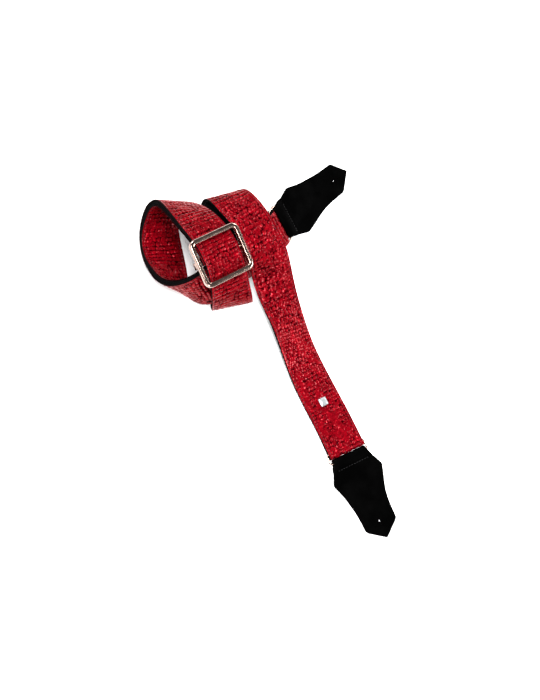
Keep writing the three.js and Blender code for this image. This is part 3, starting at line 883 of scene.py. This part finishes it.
RED = embossed_leather()
BLACK_SUEDE = suede("black_suede", (0.0010, 0.0009, 0.0010))
BLACK_TAB = tab_leather()
NICKEL = polished_metal("polished_nickel", (0.40, 0.29, 0.245), 0.17, 0.06)
BRIGHT = polished_metal("bright_stud_metal", (0.50, 0.54, 0.55), 0.34, 0.12)
RED_THREAD = thread("dark_red_thread", (0.10, 0.004, 0.010))
BLACK_THREAD = thread("black_thread", (0.006, 0.006, 0.0066))

# --- Strap -------------------------------------------------------------------------

FACE_COLUMNS = 67
LINING_COLUMNS = 17
LINING_EDGE = 0.0009
LINING_SHOWN = LINING + 0.0002
LINING_HALF = STRAP_WIDTH / 2 - EDGE_SET_BACK


def on_strap(piece, with_slider=False):
    """Fastens a piece to the strap, or, for a piece at the strap's far end by the slider, bakes its
    placement into its mesh and leaves it unfastened.
    """
    if with_slider:
        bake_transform(piece)
    else:
        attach(piece, "strap")
    return piece


def face_piece(name, path, before):
    """A length of embossed face, so far along the strap's leather."""
    length = before + walked_along(path)

    def surface(across):
        """Relief over the whole length, flat at the strap's cut end."""
        height, relief_and_painted_shade, tone = emboss(length, across)
        return height * smooth(length, -0.001, 0.002)[:, None], relief_and_painted_shade, tone

    return strip_piece(name, path, STRAP_WIDTH / 2, FACE, FACE_COLUMNS, RED, surface)


def lining_piece(name, path):
    """A length of lining, a little narrower than the face."""
    return strip_piece(
        name, path, LINING_HALF, LINING_SHOWN, LINING_COLUMNS, BLACK_SUEDE, edge=LINING_EDGE
    )


strap_face = on_strap(face_piece("embossed_face", face_path, 0.0))
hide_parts("strap_face")
face_length = walked_along(face_path)[-1]
end_path = return_end()
face_end = on_strap(face_piece("return_end", end_path, face_length), True)
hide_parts("bar_loop")

strap_lining = on_strap(lining_piece("suede_lining", lining_path))
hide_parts("strap_lining")
lining_end = on_strap(lining_piece("return_end_lining", lining_end_path), True)

SEAM_ACROSS = STRAP_WIDTH / 2 - MARGIN
THREAD_RADIUS = 0.00032
THREAD_SUNK = 0.0003
STITCHED_SECTIONS = 50
stitch_lift = FACE / 2 - THREAD_SUNK
stitched_end = cut_path(end_path, 0, STITCHED_SECTIONS)
for name, path, lift, colour, slot, with_slider in (
    ("face_stitches", face_path, stitch_lift, RED_THREAD, "red_leather", False),
    ("return_end_stitches", stitched_end, stitch_lift, RED_THREAD, "red_leather", True),
    ("lining_stitches", lining_path, -LINING_SHOWN / 2, BLACK_THREAD, "black_lining", False),
):
    stitches = seam_stitches(name, path, SEAM_ACROSS, lift, THREAD_RADIUS, colour)
    on_strap(stitches, with_slider)

# --- Rings -------------------------------------------------------------------------


def end_matrix(distance, bar_up, outwards, inset):
    """A ring's placement at an end of the route, and how steeply it points up."""
    point, along, _, normal = (array[0] for array in places(distance))
    out = along * outwards
    return frame_of(point + normal * bar_up - out * inset, out, normal), out[2]


def wire_ring(name, matrix, body):
    """A rectangle of round wire, one long side on the frame's Y axis."""
    section = WIRE_RADIUS * circle(16)
    piece = rounded_frame(name, RING_LENGTH, RING_WIDTH, RING_CORNER, 9, section)
    middle = Matrix.Translation((RING_LENGTH / 2, 0, 0))
    fasten(piece, matrix @ middle, body, body)


# --- End tabs ----------------------------------------------------------------------

TAB_FOLD = WIRE_RADIUS + GAP + TAB_LEATHER / 2
TAB_FOLD_BULGE = 0.0009
TAB_LOW = -TAB_FOLD
TAB_PRESSED = TAB_LOW + TAB_LEATHER + GAP
TAB_STEP = 0.0012
FLAP_STEP = 0.0015
FLAP_FLARE = 0.004
TAB_COLUMNS = 45
TAB_EDGE = 0.0009
TAB_SEAM_DEPTH = 0.0007
TAB_SEAM_HALF_WIDTH = 0.0016
TAB_SEAM_SHORT = 0.004
TAB_THREAD_RADIUS = 0.0003
SLIT_HALF_WIDTH = 0.0004
CUTTER_REACH = 0.01


def tab_half(x):
    """Half the tab's width: a wedge, a hollow curve and a point."""
    wedge = TAB_BASE + (TAB_WIDE - TAB_BASE) * np.clip(x / TAB_WIDE_AT, 0, 1)
    share = np.clip((x - TAB_WIDE_AT) / (TAB_TIP_AT - TAB_WIDE_AT), 0, 1)
    share = share + TAB_HOLLOW * np.sin(math.pi * share)
    hollow = TAB_WIDE + (TAB_TIP - TAB_WIDE) * share
    point = TAB_TIP * (TAB_LENGTH - x) / (TAB_LENGTH - TAB_TIP_AT)
    width = np.where(x < TAB_WIDE_AT, wedge, hollow)
    return np.where(x > TAB_TIP_AT, point, width) / 2


def rounded_half(x):
    """The same outline with its corners rounded off."""
    offsets = np.linspace(-0.0022, 0.0022, 9)
    soft = np.mean([tab_half(np.clip(x + d, 0, TAB_LENGTH)) for d in offsets], axis=0)
    share = smooth(x, TAB_LENGTH - 0.004, TAB_LENGTH - 0.001)
    return soft + (tab_half(x) - soft) * share


def tab_height(x):
    """The tab's middle over the ring's plane, pressed down behind its fold."""
    on_flap = smooth(x, 0.002, 0.016)
    off_flap = smooth(x, TAB_FLAP, TAB_FLAP + 0.026)
    seam = TAB_SEAM_DEPTH * np.exp(-(((x - TAB_SEAM_AT) / TAB_SEAM_HALF_WIDTH) ** 2))
    return TAB_FOLD + (TAB_PRESSED - TAB_FOLD) * on_flap + (TAB_LOW - TAB_PRESSED) * off_flap - seam


def tab_sections():
    """The tab's leather from its flap's end, round the fold and out to its point."""
    flap_x = np.arange(TAB_FLAP, 0, -FLAP_STEP)
    flap_half = np.minimum(tab_half(flap_x), TAB_BASE / 2 + FLAP_FLARE)
    turn = np.linspace(-math.pi / 2, -3 * math.pi / 2, 15)[1:-1]
    top_x = np.append(np.arange(0, TAB_LENGTH - TAB_STEP, TAB_STEP), TAB_LENGTH - TAB_STEP / 2)
    x = np.concatenate([flap_x, np.cos(turn) * (TAB_FOLD + TAB_FOLD_BULGE), top_x])
    z = np.concatenate([np.full(len(flap_x), TAB_LOW), np.sin(turn) * TAB_FOLD, tab_height(top_x)])
    half = np.concatenate([flap_half, np.full(len(turn), TAB_BASE / 2), rounded_half(top_x)])
    point = np.column_stack([x, np.zeros(len(x)), z])
    slope = (tab_height(top_x + 0.0003) - tab_height(top_x - 0.0003)) / 0.0006
    normal = np.concatenate([
        np.tile([0.0, 0.0, -1.0], (len(flap_x), 1)),
        np.column_stack([np.cos(turn), np.zeros(len(turn)), np.sin(turn)]),
        unit(np.column_stack([-slope, np.zeros(len(slope)), np.ones(len(slope))])),
    ])
    width = np.tile([0.0, -1.0, 0.0], (len(x), 1))
    return (point, width, normal), half


def cutter(name, outline):
    """An upright prism that reaches through the tab."""
    points = np.vstack([
        np.column_stack([outline, np.full(len(outline), z)]) for z in (-CUTTER_REACH, CUTTER_REACH)
    ])
    return add_object(name, points, grid_faces(2, len(outline)), BLACK_TAB)


def pierced(piece):
    """Cuts the button hole and its slit."""
    hole = TAB_HOLE_RADIUS * circle(32) + [TAB_HOLE_AT, 0]
    near, far, side = TAB_HOLE_AT, TAB_HOLE_AT + TAB_SLIT, SLIT_HALF_WIDTH
    slit = np.array([(near, -side), (far, -side), (far, side), (near, side)])
    cutters = [cutter("hole_cutter", hole), cutter("slit_cutter", slit)]
    for shape in cutters:
        cut = piece.modifiers.new("cut", "BOOLEAN")
        cut.object = shape
        cut.operation = "DIFFERENCE"
        cut.solver = "EXACT"
    depsgraph = bpy.context.evaluated_depsgraph_get()
    made = bpy.data.meshes.new_from_object(piece.evaluated_get(depsgraph))
    piece.modifiers.clear()
    piece.data = made
    for shape in cutters:
        bpy.data.objects.remove(shape)


def end_tab(name, matrix, body):
    """One end tab, folded round its ring, with the seam across its fold."""
    path, half = tab_sections()
    piece = strip_piece(name, path, half, TAB_LEATHER, TAB_COLUMNS, BLACK_TAB, edge=TAB_EDGE)
    pierced(piece)
    piece.data.shade_smooth()
    fasten(piece, matrix, body, body)
    count = 40
    seam_end = tab_half(TAB_SEAM_AT) - TAB_SEAM_SHORT
    seam_x = np.full(count, TAB_SEAM_AT)
    seam_z = tab_height(seam_x) + TAB_LEATHER / 2
    seam_path = (
        np.column_stack([seam_x, np.linspace(-seam_end, seam_end, count), seam_z]),
        np.tile([1.0, 0.0, 0.0], (count, 1)),
        np.tile([0.0, 0.0, 1.0], (count, 1)),
    )
    seam = seam_stitches(f"{name}_seam", seam_path, 0.0, 0.0, TAB_THREAD_RADIUS, BLACK_THREAD)
    fasten(seam, matrix, body)


for side, distance, bar_up, outwards, inset, raised in (
    ("front", 0.0, FRONT_BAR_UP, -1, FRONT_RING_INSET, 0.0),
    ("rear", ROUTE_LENGTH, REAR_BAR_UP, 1, REAR_RING_INSET, REAR_TAB_RAISED),
):
    ring_matrix, rise = end_matrix(distance, bar_up, outwards, inset)
    wire_ring(f"{side}_wire_ring", ring_matrix, f"{side}_ring")
    level = Matrix.Rotation(math.asin(rise) - raised, 4, "Y")
    tab_matrix = ring_matrix @ Matrix.Translation((RING_LENGTH, 0, 0)) @ level
    end_tab(f"{side}_end_tab", tab_matrix, f"{side}_tab")

# --- Slider ------------------------------------------------------------------------

INNER_EDGE = SLIDER_LENGTH / 2 - SLIDER_BAR
FRAME_BOTTOM = math.sqrt((ARC_RADIUS + FACE_TOP + CLEAR) ** 2 - INNER_EDGE**2) - ARC_RADIUS
FRAME_MIDDLE = FRAME_BOTTOM + SLIDER_DEPTH / 2
LUG_THICK = 0.0028
LUG_BELOW_BAR = 0.0012
LUG_BEVEL = 0.0007


def slider_frame_bar(name):
    """A rounded rectangle of bar with a pillowed section."""
    section = squared(circle(28), 2 / 3) * [SLIDER_BAR / 2, SLIDER_DEPTH / 2]
    length, width = SLIDER_LENGTH - SLIDER_BAR, SLIDER_WIDTH - SLIDER_BAR
    corner = SLIDER_CORNER - SLIDER_BAR / 2
    return rounded_frame(name, length, width, corner, 13, section, FRAME_MIDDLE)


def slider_lug(name, side):
    """A lug under one side of the frame, which holds the centre bar."""
    low, high = CENTRE_BAR_UP - CENTRE_BAR_RADIUS - LUG_BELOW_BAR, FRAME_MIDDLE
    centre = np.array([0, side * (SLIDER_WIDTH - SLIDER_BAR) / 2, (low + high) / 2])
    size = np.array([LUG, LUG_THICK, high - low])
    signs = [(x, y, z) for z in (-1, 1) for x, y in ((-1, -1), (1, -1), (1, 1), (-1, 1))]
    piece = add_object(name, centre + np.array(signs) * size / 2, grid_faces(2, 4), NICKEL)
    bevel = piece.modifiers.new("bevel", "BEVEL")
    bevel.width = LUG_BEVEL
    bevel.segments = 3
    return piece


def round_bar(name, length, radius, height):
    """A straight bar along Y with softly rounded ends."""
    at = np.array([-0.5, -0.497, -0.49, 0.49, 0.497, 0.5]) * length
    thick = np.array([0.6, 0.9, 1.0, 1.0, 0.9, 0.6]) * radius
    up, out = circle(24).T
    rings = [
        np.column_stack([t * out, np.full(len(out), y), t * up + height])
        for y, t in zip(at, thick)
    ]
    return add_object(name, np.concatenate(rings), grid_faces(len(rings), len(out)), NICKEL)


slider_place = slider_matrix() @ Matrix.Translation((0, SLIDER_SIDEWAYS, 0))
bar_length = SLIDER_WIDTH - SLIDER_BAR
for piece, node in (
    (slider_frame_bar("slider_frame_bar"), "slider_frame"),
    (slider_lug("slider_left_lug", -1), None),
    (slider_lug("slider_right_lug", 1), None),
    (round_bar("slider_centre_bar", bar_length, CENTRE_BAR_RADIUS, CENTRE_BAR_UP), "slider_bar"),
):
    fasten(piece, slider_place, "slider", node)

# --- Stud --------------------------------------------------------------------------

# Its outline from bottom to top: share of its half side, share of its height.
STUD_PROFILE = [
    (0.98, 0.0), (1.0, 0.10), (1.0, 0.46), (0.985, 0.62), (0.95, 0.73), (0.90, 0.80), (0.83, 0.84),
    (0.80, 0.81), (0.77, 0.81), (0.74, 0.86), (0.5, 0.92), (0.25, 0.96), (0.05, 0.98),
]


def stud_cap():
    """A square stud: rounded corners, a bevelled rim and a slightly domed panel."""
    point, along, _, normal = (array[0] for array in places(STUD_FROM_END))
    matrix = frame_of(point, along, normal)
    square = squared(circle(48), 2 / 9) * STUD_SIDE / 2
    rings = [
        np.column_stack([square * size, np.full(len(square), FACE_TOP + STUD_HEIGHT * height)])
        for size, height in STUD_PROFILE
    ]
    faces = grid_faces(len(rings), len(square))
    piece = add_object("square_stud", np.concatenate(rings), faces, BRIGHT)
    fasten(piece, matrix, "strap", "stud_cap")


stud_cap()
for name in ("stud_post", "stud_washer"):
    node = frame["nodes"][name]
    node.data.materials.clear()
    node.data.materials.append(BRIGHT)

# --- Floor, lights and camera ------------------------------------------------------


FLOOR_SIZE = 8
FLOOR_DROP = 0.0002


def floor():
    """A plain pale floor just under the strap."""
    material, nodes, links, shader = new_material("pale_floor")
    shade = mixed_colour(nodes, links, noise(nodes, links, 3), (0.90,) * 3, (0.93,) * 3)
    links.new(shade, shader.inputs["Base Color"])
    shader.inputs["Roughness"].default_value = 0.9
    shader.inputs["Specular IOR Level"].default_value = 0.1
    bpy.ops.mesh.primitive_plane_add(size=FLOOR_SIZE, location=(0, 0, -FLOOR_DROP))
    plane = bpy.context.object
    plane.name = "floor"
    plane.data.materials.append(material)


# Name, azimuth and elevation in degrees, side in metres and power in watts.
SOFTBOXES = [
    ("top", -150, 74, 0.55, 38),
    ("right", 6, 28, 0.45, 15),
    ("back_right", 55, 24, 0.45, 10),
    ("back", 116, 42, 0.45, 17),
    ("front_right", -70, 46, 0.45, 16),
    ("front", -112, 40, 0.4, 3.5),
]
LIGHT_DISTANCE = 1.4


def softbox(name, azimuth_deg, elevation_deg, side, power):
    """An area light aimed at the strap; azimuth 0 is on the +X side."""
    a, e = math.radians(azimuth_deg), math.radians(elevation_deg)
    towards = Vector((math.cos(a) * math.cos(e), math.sin(a) * math.cos(e), math.sin(e)))
    light = bpy.data.lights.new(name, "AREA")
    light.shape = "RECTANGLE"
    light.size = light.size_y = side
    light.energy = power
    lamp = bpy.data.objects.new(name, light)
    lamp.location = towards * LIGHT_DISTANCE
    lamp.rotation_mode = "QUATERNION"
    lamp.rotation_quaternion = towards.to_track_quat("Z", "Y")
    bpy.context.scene.collection.objects.link(lamp)


def world():
    """A dim warm studio round the lights."""
    made = bpy.data.worlds.new("studio")
    made.use_nodes = True
    background = made.node_tree.nodes["Background"]
    background.inputs["Color"].default_value = (1.0, 0.97, 0.95, 1)
    background.inputs["Strength"].default_value = 0.05
    bpy.context.scene.world = made


CAMERA_LEAN = math.radians(25)
CAMERA_TURN = math.radians(139)
CAMERA_DISTANCE = 1.4
SENSOR_WIDTH = 36
VIEW_WIDTH = 0.66502


def camera():
    """Looks down on the strap's middle, leaning back from straight above it."""
    back = Vector((
        math.sin(CAMERA_LEAN) * math.cos(CAMERA_TURN),
        -math.sin(CAMERA_LEAN) * math.sin(CAMERA_TURN),
        math.cos(CAMERA_LEAN),
    ))
    right = Vector((0, 1, 0)).cross(back).normalized()
    up = back.cross(right)
    data = bpy.data.cameras.new("camera")
    data.sensor_fit = "HORIZONTAL"
    data.sensor_width = SENSOR_WIDTH
    data.lens = SENSOR_WIDTH * CAMERA_DISTANCE / VIEW_WIDTH
    made = bpy.data.objects.new("camera", data)
    matrix = Matrix((right, up, back)).transposed().to_4x4()
    matrix.translation = Vector(shift) + back * CAMERA_DISTANCE
    made.matrix_world = matrix
    bpy.context.scene.collection.objects.link(made)
    bpy.context.scene.camera = made


floor()
world()
for box in SOFTBOXES:
    softbox(*box)
bpy.context.scene.view_settings.view_transform = "Standard"
camera()
